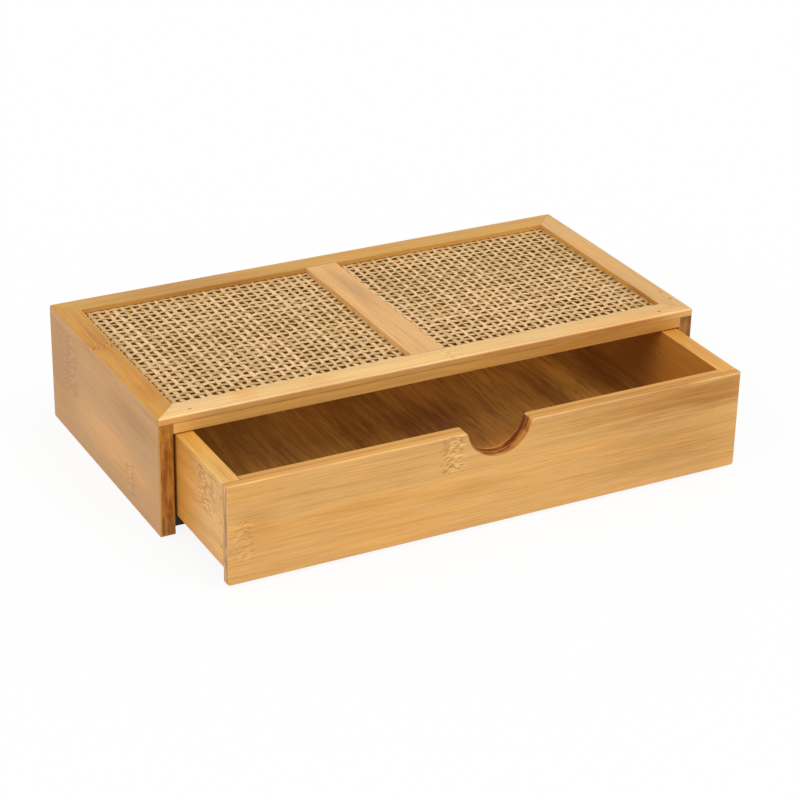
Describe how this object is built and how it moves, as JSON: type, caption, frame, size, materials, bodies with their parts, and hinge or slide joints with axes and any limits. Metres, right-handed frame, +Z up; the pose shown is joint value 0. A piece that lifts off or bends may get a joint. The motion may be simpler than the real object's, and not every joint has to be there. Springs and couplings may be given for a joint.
{
  "type": "storage box with drawer",
  "caption": "Low bamboo tabletop box with a cane-panelled framed top and one full-width drawer that slides out by a round finger notch.",
  "frame": {"origin": "middle of the case's underside, on the surface that it stands on, without the open drawer", "axes": "+Z up, +X to the right along the box, the drawer opens towards -Y"},
  "size_m": [0.33, 0.226, 0.07],
  "materials": {
    "bamboo_frame": "satin lacquered bamboo, fine straight grain",
    "bamboo_side": "satin lacquered bamboo, fine straight grain",
    "bamboo_drawer": "satin lacquered bamboo, fine straight grain",
    "bamboo_floor": "satin lacquered bamboo",
    "woven_cane": "natural woven cane strips",
    "dowel_wood": "plain turned wood",
    "brad_steel": "dull steel"
  },
  "bodies": {
    "case": {"left_side_panel": "bamboo_side", "right_side_panel": "bamboo_side", "back_panel": "bamboo_side", "base_panel": "bamboo_side", "front_top_rail": "bamboo_frame", "rear_top_rail": "bamboo_frame", "left_top_stile": "bamboo_frame", "right_top_stile": "bamboo_frame", "centre_top_stile": "bamboo_frame", "front_lower_rail": "bamboo_frame", "rear_lower_rail": "bamboo_frame", "left_lower_stile": "bamboo_frame", "right_lower_stile": "bamboo_frame", "centre_lower_stile": "bamboo_frame", "left_cane_panel": "woven_cane", "right_cane_panel": "woven_cane", "frame_brads": "brad_steel", "base_dowels": "dowel_wood", "back_dowels": "dowel_wood"},
    "drawer": {"drawer_outer_front": "bamboo_drawer", "drawer_inner_front": "bamboo_drawer", "drawer_left_side": "bamboo_drawer", "drawer_right_side": "bamboo_drawer", "drawer_back": "bamboo_drawer", "drawer_floor": "bamboo_floor", "drawer_front_brads": "brad_steel", "drawer_back_brads": "brad_steel"}
  },
  "joints": [
    {"name": "drawer_slide", "type": "slide", "parent": "case", "child": "drawer", "axis": [0, -1, 0], "range_m": [-0.064, 0.09]}
  ]
}
